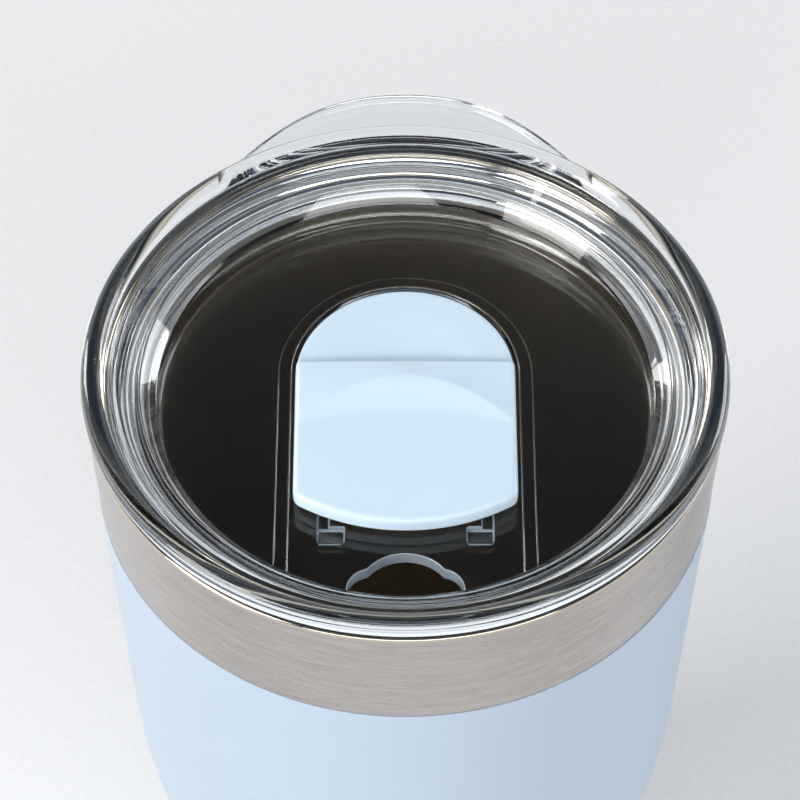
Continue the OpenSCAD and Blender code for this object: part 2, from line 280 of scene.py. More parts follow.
def stacked(loops: Sequence[np.ndarray], heights: Sequence[float]) -> Surface:
    """Plate through outlines of equal length, each at its height, with a flat face at each end.

    Args:
        loops: Outlines from the lowest to the highest.
        heights: Their heights.

    Returns:
        The closed surface.
    """
    count = len(loops[0])
    layers = [np.column_stack([loop, np.full(count, h)]) for loop, h in zip(loops, heights)]
    points = np.vstack(layers)
    ends = np.vstack([np.arange(count)[::-1], (len(loops) - 1) * count + np.arange(count)])
    return Surface(points, [strips(len(loops), count, False, True), ends])


def plate(outline: np.ndarray, low: float, high: float, edge: float, flare: float = 0.0) -> Surface:
    """Flat plate with rounded edges: the outline is set in by edge (1 - sin a) near each face.

    Args:
        outline: Anticlockwise outline.
        low: Height of the underside.
        high: Height of the top.
        edge: Radius of the rounded edges.
        flare: How far the outline widens at the top instead of rounding in, for a cutter.

    Returns:
        The closed surface.
    """
    a = np.radians(np.linspace(0.0, 90.0, 6))
    lower = a if edge > 0 else a[-1:]
    depth, rise = edge * (1 - np.sin(lower)), edge * (1 - np.cos(lower))
    loops = [inset(outline, d) for d in depth]
    heights = list(low + rise)
    if flare > 0:
        top = flare * (1 - np.cos(a))
        loops += [*(inset(outline, -d) for d in top), inset(outline, -flare)]
        heights += [*(high - flare + flare * np.sin(a)), high + 1.0]
    else:
        loops += [inset(outline, d) for d in depth[::-1]]
        heights += list(high - rise[::-1])
    return stacked(loops, heights)


def swept(path: np.ndarray, section: np.ndarray) -> Surface:
    """Section in (sideways, height) carried along an open path in the plane.

    Each point is the path's point plus the sideways value along the path's normal, at its height.

    Args:
        path: Points of the path.
        section: Closed section.

    Returns:
        The closed surface.
    """
    ahead = unit(np.gradient(path, axis=0))
    side = np.column_stack([-ahead[:, 1], ahead[:, 0]])
    plan = path[:, None] + side[:, None] * section[None, :, :1]
    heights = np.broadcast_to(section[:, 1], plan.shape[:2])
    points = np.concatenate([plan, heights[..., None]], axis=-1).reshape(-1, 3)
    count = len(section)
    ends = np.vstack([np.arange(count), (len(path) - 1) * count + np.arange(count)[::-1]])
    return Surface(points, [strips(len(path), count, False, True), ends])


# ---------------------------------------------------------------------------------------------
# Finishing of meshes
# ---------------------------------------------------------------------------------------------


class Cut(Enum):
    """What a second solid does to a first."""

    ADD = "UNION"
    TAKE_AWAY = "DIFFERENCE"


def combined(piece: bpy.types.Object, tools: Sequence[Surface], cut: Cut) -> None:
    """Adds solids to a piece's mesh, or takes them away, for good.

    Args:
        piece: The object whose mesh changes.
        tools: Closed surfaces.
        cut: What they do.
    """
    for number, tool in enumerate(tools):
        other = tool.to_object(f"tool_{number}")
        step = piece.modifiers.new("cut", "BOOLEAN")
        step.operation = cut.value
        step.solver = "EXACT"
        step.object = other
        graph = bpy.context.evaluated_depsgraph_get()
        result = bpy.data.meshes.new_from_object(piece.evaluated_get(graph))
        piece.modifiers.clear()
        old = piece.data
        piece.data = result
        result.name = old.name
        bpy.data.meshes.remove(old)
        bpy.data.objects.remove(other, do_unlink=True)


def finished(
    piece: bpy.types.Object, body: str, material: bpy.types.Material
) -> None:
    """Smooths a piece, keeps its creases, gives it its material and joins it to the frame.

    Args:
        piece: The object.
        body: The CAD body that it rides on.
        material: Its material.
    """
    mesh = piece.data
    mesh.materials.clear()
    mesh.materials.append(material)
    mesh.polygons.foreach_set("use_smooth", np.ones(len(mesh.polygons), dtype=bool))
    mesh.polygons.foreach_set("material_index", np.zeros(len(mesh.polygons), dtype=np.int32))
    mesh.set_sharp_from_angle(angle=math.radians(CREASE_DEG))
    weigh = piece.modifiers.new("even_normals", "WEIGHTED_NORMAL")
    weigh.keep_sharp = True
    weigh.weight = NORMAL_WEIGHT
    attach(piece, body)
    LOG.info("%s: %d faces on %s", piece.name, len(mesh.polygons), body)


# ---------------------------------------------------------------------------------------------
# Shaders
# ---------------------------------------------------------------------------------------------


class Wire:
    """A node's output, with arithmetic that adds Math nodes."""

    def __init__(self, tree: bpy.types.NodeTree, socket: bpy.types.NodeSocket) -> None:
        """Keeps the tree and the socket."""
        self.tree, self.socket = tree, socket

    def math(
        self, operation: str, *others: "Wire | float", first: "Wire | float | None" = None
    ) -> "Wire":
        """Adds a Math node.

        Args:
            operation: Its operation.
            others: The values after the first.
            first: The first value, this wire where it is left out.

        Returns:
            The node's output.
        """
        node = self.tree.nodes.new("ShaderNodeMath")
        node.operation = operation
        for place, value in enumerate([self if first is None else first, *others]):
            if isinstance(value, Wire):
                self.tree.links.new(value.socket, node.inputs[place])
            else:
                node.inputs[place].default_value = value
        return Wire(self.tree, node.outputs[0])

    def __add__(self, other: "Wire | float") -> "Wire":
        """This plus other."""
        return self.math("ADD", other)

    def __radd__(self, other: float) -> "Wire":
        """Other plus this."""
        return self.math("ADD", other)

    def __sub__(self, other: "Wire | float") -> "Wire":
        """This minus other."""
        return self.math("SUBTRACT", other)

    def __rsub__(self, other: float) -> "Wire":
        """Other minus this."""
        return self.math("SUBTRACT", self, first=other)

    def __mul__(self, other: "Wire | float") -> "Wire":
        """This times other."""
        return self.math("MULTIPLY", other)

    def __truediv__(self, other: "Wire | float") -> "Wire":
        """This over other."""
        return self.math("DIVIDE", other)


# Places of a Mix node's sockets when it mixes colours
MIX_FACTOR, MIX_FIRST, MIX_SECOND, MIX_RESULT = 0, 6, 7, 2


def new_node(
    tree: bpy.types.NodeTree,
    kind: str,
    sockets: dict[str | int, object] | None = None,
    data_type: str | None = None,
) -> bpy.types.Node:
    """Adds a node.

    Args:
        tree: The node tree.
        kind: The node's type.
        sockets: Values or wires for its inputs.
        data_type: The kind of value that it works on, where it has a choice.

    Returns:
        The node.
    """
    node = tree.nodes.new(kind)
    if data_type is not None:
        node.data_type = data_type
    for key, value in (sockets or {}).items():
        place = node.inputs[key]
        if isinstance(value, Wire):
            tree.links.new(value.socket, place)
        else:
            place.default_value = value
    return node


def output(node: bpy.types.Node, name: str | int = 0) -> Wire:
    """One of a node's outputs."""
    return Wire(node.id_data, node.outputs[name])


Colour = tuple[float, float, float]


@dataclass(frozen=True)
class Finish:
    """A surface finish: the constants of its Principled shader, and the pattern laid over it."""

    name: str
    colour: Colour
    roughness: float
    metallic: float = 0.0
    ior: float = 1.5

    def place(self, tree: bpy.types.NodeTree) -> Wire:
        """The place on the piece in metres."""
        return output(new_node(tree, "ShaderNodeTexCoord"), "Object")

    def noise(
        self, tree: bpy.types.NodeTree, where: Wire, scale: float, detail: float = 2.0
    ) -> Wire:
        """Noise between 0 and 1.

        Args:
            tree: The material's node tree.
            where: The vector to read it at.
            scale: Spots per unit of the vector.
            detail: Number of finer layers.

        Returns:
            The noise value.
        """
        sockets = {"Vector": where, "Scale": scale, "Detail": detail}
        spots = new_node(tree, "ShaderNodeTexNoise", sockets)
        return output(spots, "Factor" if "Factor" in spots.outputs else "Fac")

    def stretched(self, tree: bpy.types.NodeTree, along: float, across: float) -> Wire:
        """Place for a pattern of lines that run round the Z axis.

        The plan direction is scaled to a small circle of radius along. The height plus a share of
        the distance from the axis is multiplied by across, so the pattern has no seam.

        Args:
            tree: The material's node tree.
            along: Radius of the circle that the lines follow.
            across: Scale of the height and of the radius.

        Returns:
            The vector.
        """
        apart = new_node(tree, "ShaderNodeSeparateXYZ", {"Vector": self.place(tree)})
        x, y, z = (output(apart, axis) for axis in "XYZ")
        r = (x * x + y * y + NOT_ZERO).math("SQRT")
        sockets = {"X": x / r * along, "Y": y / r * along, "Z": (z + r * RADIUS_SHARE) * across}
        return output(new_node(tree, "ShaderNodeCombineXYZ", sockets))

    def tinted(self, tree: bpy.types.NodeTree, amount: Wire, low: float, high: float) -> Wire:
        """The finish's colour, made darker or lighter by a pattern.

        Args:
            tree: The material's node tree.
            amount: The pattern, 0 to 1.
            low: Factor on the colour at 0.
            high: Factor on the colour at 1.

        Returns:
            The colour.
        """
        ends = [(*[min(1.0, c * k) for c in self.colour], 1.0) for k in (low, high)]
        sockets = {MIX_FACTOR: amount, MIX_FIRST: ends[0], MIX_SECOND: ends[1]}
        return output(new_node(tree, "ShaderNodeMix", sockets, "RGBA"), MIX_RESULT)

    def bumped(
        self, tree: bpy.types.NodeTree, height: Wire, depth_mm: float, strength: float = 1.0
    ) -> Wire:
        """Normal that follows a height pattern.

        Args:
            tree: The material's node tree.
            height: The pattern, 0 to 1.
            depth_mm: Height of the pattern.
            strength: Share of the bump that is used.

        Returns:
            The normal.
        """
        sockets = {"Height": height, "Distance": depth_mm * MM, "Strength": strength}
        return output(new_node(tree, "ShaderNodeBump", sockets), "Normal")

    def pattern(self, tree: bpy.types.NodeTree) -> dict[str, Wire]:
        """What changes over the surface: an input's name and its wire."""
        spots = self.noise(tree, self.place(tree), 900.0)
        return {
            "Base Color": self.tinted(tree, spots, 0.94, 1.04),
            "Roughness": self.roughness - 0.04 + spots * 0.08,
        }

    def constants(self) -> dict[str, object]:
        """Inputs of the shader that are the same all over."""
        return {"Metallic": self.metallic, "IOR": self.ior}

    def surface(self, tree: bpy.types.NodeTree, shader: Wire) -> Wire:
        """What goes to the material's output."""
        return shader

    def material(self) -> bpy.types.Material:
        """Builds the material."""
        made = bpy.data.materials.new(self.name)
        made.use_nodes = True
        tree = made.node_tree
        tree.nodes.clear()
        sockets = {"Base Color": (*self.colour, 1.0), "Roughness": self.roughness}
        shader = new_node(tree, "ShaderNodeBsdfPrincipled", {**sockets, **self.constants()})
        for name, value in self.pattern(tree).items():
            tree.links.new(value.socket, shader.inputs[name])
        seen = self.surface(tree, output(shader))
        new_node(tree, "ShaderNodeOutputMaterial", {"Surface": seen})
        made.diffuse_color = (*self.colour, 1.0)
        return made


@dataclass(frozen=True)
class BrushedSteel(Finish):
    """Stainless steel brushed round the axis."""

    metallic: float = 1.0
    line: float = 4000.0
    depth_mm: float = 0.006
    unevenness: float = 0.3
    contrast: float = 0.65
    polished_from: float = 1000.0
    polish: float = 0.07
    fade_mm: float = 0.3
    fine_turn: float = 9.0
    broad_turn: float = 2.2
    cloud_scale: float = 24.0

    def pattern(self, tree: bpy.types.NodeTree) -> dict[str, Wire]:
        """Fine lines round the axis in colour, roughness and height, over slow cloudy changes.

        Above the height polished_from, in millimetres, the lines fade and the steel is polished.
        """
        where = self.place(tree)
        height = output(new_node(tree, "ShaderNodeSeparateXYZ", {"Vector": where}), "Z")
        below = (self.polished_from * MM - height) / (self.fade_mm * MM)
        rough = below.math("MAXIMUM", 0.0).math("MINIMUM", 1.0)
        fine = self.noise(tree, self.stretched(tree, self.fine_turn, self.line), 1.0)
        broad = self.noise(tree, self.stretched(tree, self.broad_turn, self.line / 4), 1.0)
        cloud = self.noise(tree, where, self.cloud_scale, 3.0)
        lines = (fine * 0.65 + broad * 0.35 - 0.5) * rough + 0.5
        shade = lines * 0.85 + cloud * 0.15
        colour = self.tinted(tree, shade, 1.0 - self.contrast, 1.0 + self.contrast)
        brushed = self.roughness - self.unevenness / 2 + lines * self.unevenness
        return {
            "Base Color": colour,
            "Roughness": brushed * rough + (1.0 - rough) * self.polish,
            "Normal": self.bumped(tree, lines, self.depth_mm),
        }


@dataclass(frozen=True)
class PowderCoat(Finish):
    """Sprayed and baked coat with a fine pebbled surface."""

    pebble: float = 2600.0
    depth_mm: float = 0.012

    def pattern(self, tree: bpy.types.NodeTree) -> dict[str, Wire]:
        """Pebbles in height, with a faint change of colour and gloss over wider spots."""
        where = self.place(tree)
        pebbles = self.noise(tree, where, self.pebble)
        cloud = self.noise(tree, where, 60.0, 3.0)
        return {
            "Base Color": self.tinted(tree, cloud * 0.6 + pebbles * 0.4, 0.965, 1.03),
            "Roughness": self.roughness - 0.05 + pebbles * 0.1,
            "Normal": self.bumped(tree, pebbles, self.depth_mm, 0.6),
        }

    def constants(self) -> dict[str, object]:
        """A thin glossy layer over the pigment."""
        return {**super().constants(), "Coat Weight": 0.15, "Coat Roughness": 0.25}


@dataclass(frozen=True)
class ClearPlastic(Finish):
    """Polished clear moulding with a faint cool tint."""

    ior: float = 1.54
    ripple_scale: float = 70.0
    haze_scale: float = 500.0
    passed: Colour = (0.965, 0.97, 0.975)

    def pattern(self, tree: bpy.types.NodeTree) -> dict[str, Wire]:
        """Faint flow ripples from moulding, and a little haze that comes and goes."""
        where = self.place(tree)
        ripple = self.noise(tree, where, self.ripple_scale)
        haze = self.noise(tree, where, self.haze_scale)
        return {
            "Base Color": self.tinted(tree, ripple, 0.98, 1.02),
            "Roughness": self.roughness * 0.5 + haze * self.roughness,
            "Normal": self.bumped(tree, ripple, 0.02, 0.35),
        }

    def constants(self) -> dict[str, object]:
        """Light passes through."""
        return {**super().constants(), "Transmission Weight": 1.0}

    def surface(self, tree: bpy.types.NodeTree, shader: Wire) -> Wire:
        """Most of a lamp's light goes straight through, so the piece casts hardly any shadow."""
        path = new_node(tree, "ShaderNodeLightPath")
        clear = new_node(tree, "ShaderNodeBsdfTransparent", {"Color": (*self.passed, 1.0)})
        sockets = {0: output(path, "Is Shadow Ray"), 1: shader, 2: output(clear)}
        return output(new_node(tree, "ShaderNodeMixShader", sockets))


@dataclass(frozen=True)
class MouldedPlastic(Finish):
    """Opaque moulded plastic with a soft gloss."""

    grain_scale: float = 3500.0
    cloud_scale: float = 90.0

    def pattern(self, tree: bpy.types.NodeTree) -> dict[str, Wire]:
        """Very fine mould texture under slow changes of gloss."""
        where = self.place(tree)
        grain = self.noise(tree, where, self.grain_scale)
        cloud = self.noise(tree, where, self.cloud_scale)
        return {
            "Base Color": self.tinted(tree, cloud, 0.98, 1.015),
            "Roughness": self.roughness - 0.04 + cloud * 0.08,
            "Normal": self.bumped(tree, grain, 0.003, 0.5),
        }

    def constants(self) -> dict[str, object]:
        """A little light spreads under the surface."""
        return {
            **super().constants(),
            "Subsurface Weight": 0.25,
            "Subsurface Radius": (1.0, 1.0, 1.0),
            "Subsurface Scale": 0.0012,
        }


@dataclass(frozen=True)
class Milky(Finish):
    """Milky and partly clear, as silicone is; on the lid's slot and pocket walls the same finish is
    painted light, a grey-blue that stands in for the light refracted through those clear walls.
    """

    ior: float = 1.41

    def constants(self) -> dict[str, object]:
        """Part of the light passes through."""
        return {**super().constants(), "Transmission Weight": 0.3}


@dataclass(frozen=True)
class Palette:
    """Every finish of the tumbler."""

    shell: Finish = BrushedSteel(
        "steel_brushed",
        (0.45, 0.42, 0.40),
        0.27,
        line=3000.0,
        depth_mm=0.02,
        contrast=0.45,
        polished_from=161.0,
    )
    coat: Finish = PowderCoat("coat_pale_blue", (0.405, 0.49, 0.585), 0.42)
    liner: Finish = BrushedSteel(
        "steel_liner",
        (0.56, 0.50, 0.40),
        0.38,
        unevenness=0.08,
        contrast=0.12,
        polished_from=161.3,
    )
    base: Finish = BrushedSteel("steel_base", (0.58, 0.56, 0.54), 0.30, line=3500.0)
    clear: Finish = ClearPlastic("plastic_clear", (0.965, 0.98, 1.0), 0.02)
    # Painted light for the lid's slot and pocket walls: a milky grey-blue in place of light
    # refracted through clear plastic
    edge_painted_light: Finish = Milky("plastic_edge_painted_light", (0.36, 0.43, 0.50), 0.14, ior=1.54)
    silicone: Finish = Milky("silicone_milky", (0.90, 0.92, 0.95), 0.4)
    slider: Finish = MouldedPlastic("plastic_pale_blue", (0.67, 0.82, 0.95), 0.24)
    foil: Finish = BrushedSteel("foil_bright", (0.82, 0.83, 0.84), 0.18, line=1500.0)
    stamped: Finish = BrushedSteel("steel_stamped", (0.55, 0.54, 0.53), 0.38, line=3000.0)
    glass: Finish = Finish("glass_solder", (0.05, 0.05, 0.06), 0.25)
    getter: Finish = Finish("alloy_getter", (0.16, 0.13, 0.11), 0.75, metallic=0.4)


# ---------------------------------------------------------------------------------------------
# Steel body
# ---------------------------------------------------------------------------------------------


@dataclass
class Walls:
    """The tapering double wall."""

    body_h: float = 162.0
    rim_r: float = 44.8
    taper: float = 2.6
    waist_depth: float = 70.0
    waist_len: float = 54.0
    waist_drop: float = 5.2
    corner_r: float = 4.0
    foot_lift: float = 0.5
    sheet: float = 0.5
    wall: float = 3.2

    @property
    def corner_z(self) -> float:
        """Height at which the rounded bottom edge meets the wall."""
        return self.foot_lift + self.corner_r

    def radius(self, z: np.ndarray | float) -> np.ndarray | float:
        """Outer radius at a height: the taper's line less the waist's smooth inward step."""
        depth = self.body_h - z
        step = blend((depth - self.waist_depth) / self.waist_len)
        return self.rim_r - math.tan(math.radians(self.taper)) * depth - self.waist_drop * step

    def line(self, depth: float, low: float, high: float) -> np.ndarray:
        """Corner rows up the wall at a depth inside its outer face, from one height to another."""
        z = np.linspace(low, high, WALL_STEPS)
        return plain(np.column_stack([self.radius(z) - depth, z]))

    def skin(self, depth: float, high: float) -> np.ndarray:
        """Corner rows from the turned-in bottom end round the edge and up the wall."""
        centre = (float(self.radius(self.corner_z)) - self.corner_r, self.corner_z)
        edge = bow(centre, self.corner_r - depth, -90.0, 0.0, 14)
        return np.vstack([edge, self.line(depth, self.corner_z, high)[1:]])


@dataclass
class TumblerBody:
    """The steel body: shell, coat, liner with its bottom, and base cap."""

    walls: Walls
    finishes: Palette
    band_h: float = 19.4
    coat_t: float = 0.15
    floor_z: float = 9.0
    seam_z: float = 23.0
    liner_corner_r: float = 8.0
    ring_w: float = 5.0
    rise: float = 1.5
    ramp: float = 1.5
    mouth_round: float = 0.8

    def build(self) -> None:
        """Builds and dresses each piece."""
        steel = self.finishes.shell.material()
        liner = self.finishes.liner.material()
        self.piece("shell", self.shell_section(), True, "outer_shell", "brushed_shell", steel)
        coat = self.finishes.coat.material()
        self.piece("coat", self.coat_section(), True, "powder_coat", "coat", coat)
        self.piece("liner", self.liner_section(), True, "inner_liner", "liner_steel", liner)
        self.piece("liner_cup", self.cup_section(), False, "liner_bottom", "liner_steel", liner)
        base = self.finishes.base.material()
        self.piece("base", self.base_section(), False, "base_cap", "base_steel", base)

    def piece(
        self,
        name: str,
        section: np.ndarray,
        closed: bool,
        node: str,
        slot: str,
        material: bpy.types.Material,
    ) -> None:
        """Turns a section into a piece that stands for a CAD node.

        Args:
            name: Name of the piece.
            section: Its section in (radius, height).
            closed: Whether it is a ring.
            node: The CAD node.
            slot: Name of a material slot; not used.
            material: Its material.
        """
        made = turned(section, closed).to_object(name)
        finished(made, "tumbler", material)
        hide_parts(node)

    def shell_section(self) -> np.ndarray:
        """Outer sheet, one sheet's thickness deep."""
        w = self.walls
        top = w.body_h - w.sheet
        return rounded(np.vstack([w.skin(0.0, top), w.skin(w.sheet, top)[::-1]]))

    def coat_section(self) -> np.ndarray:
        """Coat over the shell, with a softly rounded upper edge."""
        w = self.walls
        top = w.body_h - self.band_h
        outside = w.skin(-self.coat_t, top)
        outside[-1, 2] = self.coat_t * 0.8
        return rounded(np.vstack([outside, w.skin(0.0, top)[::-1]]), count=6)

    def liner_section(self) -> np.ndarray:
        """Liner from the seam up, rolled out over the mouth to the shell's outer face."""
        w = self.walls
        round_r, edge_r = self.mouth_round, w.sheet - 0.02
        mouth = w.rim_r - w.wall
        high = w.body_h - w.sheet
        return rounded(
            np.vstack(
                [
                    w.line(w.wall, self.seam_z, w.body_h - round_r),
                    bow((mouth + round_r, w.body_h - round_r), round_r, 176.0, 90.0, 12),
                    bow((w.rim_r - edge_r, w.body_h - edge_r), edge_r, 90.0, 0.0, 10),
                    plain(np.array([[float(w.radius(high)), high]])),
                    w.line(w.wall - w.sheet, self.seam_z, high)[::-1],
                ]
            )
        )

    def cup_section(self) -> np.ndarray:
        """Liner's bottom: a dished plate with a rounded edge up to the seam."""
        w = self.walls
        inner = float(w.radius(self.floor_z + self.liner_corner_r)) - w.wall
        centre = (inner - self.liner_corner_r, self.floor_z + self.liner_corner_r)
        seam = float(w.radius(self.seam_z)) - w.wall
        return rounded(
            np.vstack(
                [
                    corners((0.0, self.floor_z - w.sheet, 0.0)),
                    bow(centre, self.liner_corner_r + w.sheet, -90.0, 0.0, 18),
                    corners((seam + w.sheet, self.seam_z, 0.0), (seam, self.seam_z, 0.0)),
                    bow(centre, self.liner_corner_r, 0.0, -90.0, 18),
                    corners((0.0, self.floor_z, 0.0)),
                ]
            ),
            closed=False,
        )

    def base_section(self) -> np.ndarray:
        """Base cap: a raised middle, the ring that the tumbler stands on, and an upturned edge."""
        w = self.walls
        outer = float(w.radius(w.corner_z)) - w.corner_r
        inner, ramp, t = outer - self.ring_w, self.ramp, w.sheet
        return rounded(
            corners(
                (0.0, self.rise, 0.0),
                (inner - ramp, self.rise, 0.8),
                (inner, 0.0, 0.6),
                (outer, 0.0, 0.45),
                (outer, w.foot_lift + t, 0.1),
                (outer - t, w.foot_lift + t, 0.1),
                (outer - t, t, 0.1),
                (inner + 0.2, t, 0.5),
                (inner - ramp + 0.2, self.rise + t, 0.7),
                (0.0, self.rise + t, 0.0),
            ),
            closed=False,
        )


# ---------------------------------------------------------------------------------------------
# Slider's outline, which the lid also needs
# ---------------------------------------------------------------------------------------------


@dataclass
class SliderPlan:
    """Outline of the slider: half-round tail, straight sides, rounded corners and a bowed front."""

    half: float = 15.5
    back_y: float = 5.0
    front: float = 22.1
    front_r: float = 28.0
    corner: float = 2.0

    @property
    def bow_y(self) -> float:
        """Centre of the bowed front."""
        return self.front_r - self.front

    @property
    def corner_x(self) -> float:
        """Sideways place of a corner's centre."""
        return self.half - self.corner

    @property
    def corner_y(self) -> float:
        """Lengthways place of a corner's centre."""
        return self.bow_y - math.sqrt((self.front_r - self.corner) ** 2 - self.corner_x**2)

    @property
    def turn(self) -> float:
        """Angle at the bow's centre from the middle to a corner's centre."""
        return math.asin(self.corner_x / (self.front_r - self.corner))

    def front_line(self, x: np.ndarray) -> np.ndarray:
        """Front outline's y over x: the bow, then the corner's arc."""
        across = np.abs(x)
        arc = self.bow_y - np.sqrt(np.maximum(self.front_r**2 - across**2, 0.0))
        past = np.clip(across - self.corner_x, 0.0, self.corner)
        round_off = self.corner_y - np.sqrt(np.maximum(self.corner**2 - past**2, 0.0))
        return np.where(across < self.front_r * math.sin(self.turn), arc, round_off)

    def back_line(self, x: np.ndarray) -> np.ndarray:
        """Tail outline's y over x: a half circle."""
        return self.back_y + np.sqrt(np.maximum(self.half**2 - x**2, 0.0))

    def depth(self, x: np.ndarray, y: np.ndarray) -> np.ndarray:
        """Distance in from the outline, the least of those to its lines and arcs."""
        across = np.abs(x)
        tail = self.half - np.hypot(x, y - self.back_y)
        side = np.where(y > self.back_y, tail, self.half - across)
        front = self.front_r - np.hypot(x, y - self.bow_y)
        dx, dy = across - self.corner_x, self.corner_y - y
        angle = np.arctan2(dy, dx)
        in_corner = (dx > 0) & (dy > 0) & (angle < math.pi / 2 - self.turn)
        least = np.where(in_corner, self.corner - np.hypot(dx, dy), np.minimum(side, front))
        return np.maximum(least, 0.0)

    def front_arc(self, d: float, half: float) -> np.ndarray:
        """Corner rows along the bowed front set in by d, from -half to half across."""
        r = self.front_r - d
        lean = math.degrees(math.asin(half / r))
        return bow((0.0, self.bow_y), r, 270.0 - lean, 270.0 + lean, FRONT_STEPS)


# ---------------------------------------------------------------------------------------------
# Lid
# ---------------------------------------------------------------------------------------------


@dataclass
class Lid:
    """The clear lid with its tab, rib, guides, pockets and slot, and its silicone ring."""

    walls: Walls
    plan: SliderPlan
    finishes: Palette
    seat_gap: float = 0.2
    overhang: float = 0.25
    bead_r: float = 1.6
    recess_r: float = 34.8
    deck_drop: float = 7.5
    deck_t: float = 2.0
    ledge_drop: float = 1.3
    ledge_w: float = 2.6
    skirt_h: float = 9.9
    skirt_t: float = 1.4
    groove_d: float = 1.0
    gasket_h: float = 3.8
    tab_reach: float = 6.9
    tab_spread: float = 28.6
    tab_t: float = 1.6
    tab_lift: float = 0.1
    tab_edge: float = 0.42
    tab_border: float = 0.9
    tab_ramp: float = 0.9
    tab_hollow: float = 0.35
    tab_power: float = 2.6
    tab_steps: int = 122
    moat_gap: float = 1.7
    moat_drop: float = 2.6
    bar_root: float = 0.6
    side_gap: float = 0.5
    rib_h: float = 1.0
    rib_w: float = 2.1
    rib_y: float = 5.3
    slot_half: float = 4.7
    slot_end_r: float = 3.2
    straw_r: float = 6.5
    slot_depth: float = 9.4
    slot_strip: float = 2.4
    slot_lip: float = 0.3
    guide_in: float = 8.8
    guide_w: float = 3.3
    guide_h: float = 2.0
    guide_t: float = 0.6
    guide_reach: float = 2.5
    guide_front: float = 17.7
    guide_back: float = 7.5
    pocket_start: float = 1.5
    pocket_len: float = 2.8
    pocket_deep: float = 1.1
    pocket_in: float = 0.4
    channel_w: float = 1.6
    channel_deep: float = 0.6
    channel_back: float = 18.2

    @property
    def lid_z(self) -> float:
        """Height of the flange's underside."""
        return self.walls.body_h + self.seat_gap

    @property
    def deck_z(self) -> float:
        """Height of the deck's top face."""
        return self.lid_z - self.deck_drop

    @property
    def bead_x(self) -> float:
        """Radius of the middle of the rounded flange."""
        return self.walls.rim_r + self.overhang - self.bead_r

    @property
    def skirt_r(self) -> float:
        """Outer radius of the skirt."""
        return self.walls.rim_r - self.walls.wall - 0.5

    @property
    def groove_r(self) -> float:
        """Radius of the bottom of the gasket's groove."""
        return self.skirt_r - self.groove_d

    @property
    def groove_top(self) -> float:
        """Depth of the top of the gasket's groove below the flange's underside."""
        return (self.skirt_h - self.gasket_h) / 2 + 0.7

    def build(self) -> None:
        """Builds and dresses the lid and its gasket."""
        body = turned(self.section(), closed=False).to_object("lid")
        combined(body, [self.tab(), self.rib(), self.guide(1.0), self.guide(-1.0)], Cut.ADD)
        combined(body, [self.slot(), *self.pockets(1.0), *self.pockets(-1.0)], Cut.TAKE_AWAY)
        finished(body, "lid", self.finishes.clear.material())
        self.paint_edge_light(body)
        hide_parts("lid_body")
        ring = turned(self.gasket_section()).to_object("gasket")
        finished(ring, "lid", self.finishes.silicone.material())
        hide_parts("lid_gasket")

    def paint_edge_light(self, body: bpy.types.Object) -> None:
        """Paints the walls of the slot and of the pockets a milky grey-blue, painted light that
        stands in for the light refracted through these clear walls.

        Args:
            body: The lid, with its openings cut.
        """
        mesh = body.data
        centre, normal = np.empty(len(mesh.polygons) * 3), np.empty(len(mesh.polygons) * 3)
        mesh.polygons.foreach_get("center", centre)
        mesh.polygons.foreach_get("normal", normal)
        centre, normal = centre.reshape(-1, 3) / MM, normal.reshape(-1, 3)
        slack, skin, steep, behind = 0.6, 0.03, 0.9, -18.0
        inside = np.hypot(centre[:, 0], centre[:, 1]) < self.recess_r - self.slot_strip + slack
        low = (centre[:, 2] < self.deck_z - skin) & (centre[:, 2] > self.deck_z - self.deck_t)
        walls = inside & low & (np.abs(normal[:, 2]) < steep) & (centre[:, 1] < behind)
        # Painted light: the slot and pocket walls get a milky grey-blue finish in place of the
        # light refracted through them
        mesh.materials.append(self.finishes.edge_painted_light.material())
        mesh.polygons.foreach_set("material_index", walls.astype(np.int32))

    def section(self) -> np.ndarray:
        """Section from the deck's middle at its top, over the flange, to its middle underneath."""
        z = self.lid_z
        ledge_r = self.recess_r + self.ledge_w
        shoulder = self.bead_x - self.bead_r - 0.15
        moat_out = self.groove_r - self.skirt_t
        moat_in = self.recess_r + self.moat_gap
        moat_top = -self.ledge_drop - self.moat_drop
        land = self.skirt_r - math.tan(math.radians(self.walls.taper)) * self.skirt_h
        rows = np.vstack(
            [
                corners(
                    (0.0, -self.deck_drop, 0.0),
                    (self.recess_r, -self.deck_drop, 0.7),
                    (self.recess_r, -self.ledge_drop - self.ledge_w, 0.6),
                    (ledge_r, -self.ledge_drop, 0.35),
                    (ledge_r + 0.1, -self.ledge_drop - 0.75, 0.25),
                    (ledge_r + 0.75, -self.ledge_drop - 0.6, 0.3),
                    (shoulder - 1.5, self.bead_r - 0.5, 0.5),
                    (shoulder - 0.8, self.bead_r - 0.1, 0.5),
                    (shoulder, self.bead_r - 0.05, 0.1),
                ),
                bow((self.bead_x, self.bead_r), self.bead_r, 172.0, -90.0, 48),
                corners(
                    (self.skirt_r, 0.0, 0.5),
                    (self.skirt_r, -self.groove_top, 0.2),
                    (self.groove_r, -self.groove_top, 0.15),
                    (self.groove_r, -self.groove_top - self.gasket_h, 0.15),
                    (land, -self.groove_top - self.gasket_h, 0.2),
                    (land, -self.skirt_h, 0.6),
                    (moat_out, -self.skirt_h, 0.5),
                    (moat_out, moat_top, 0.6),
                    (ledge_r - 0.2, moat_top, 0.5),
                    (moat_in, moat_top - 0.8, 0.5),
                    (moat_in, -self.deck_drop - self.deck_t, 1.0),
                    (0.0, -self.deck_drop - self.deck_t, 0.0),
                ),
            ]
        )
        rows[:, 1] += z
        return rounded(rows, closed=False, count=8)

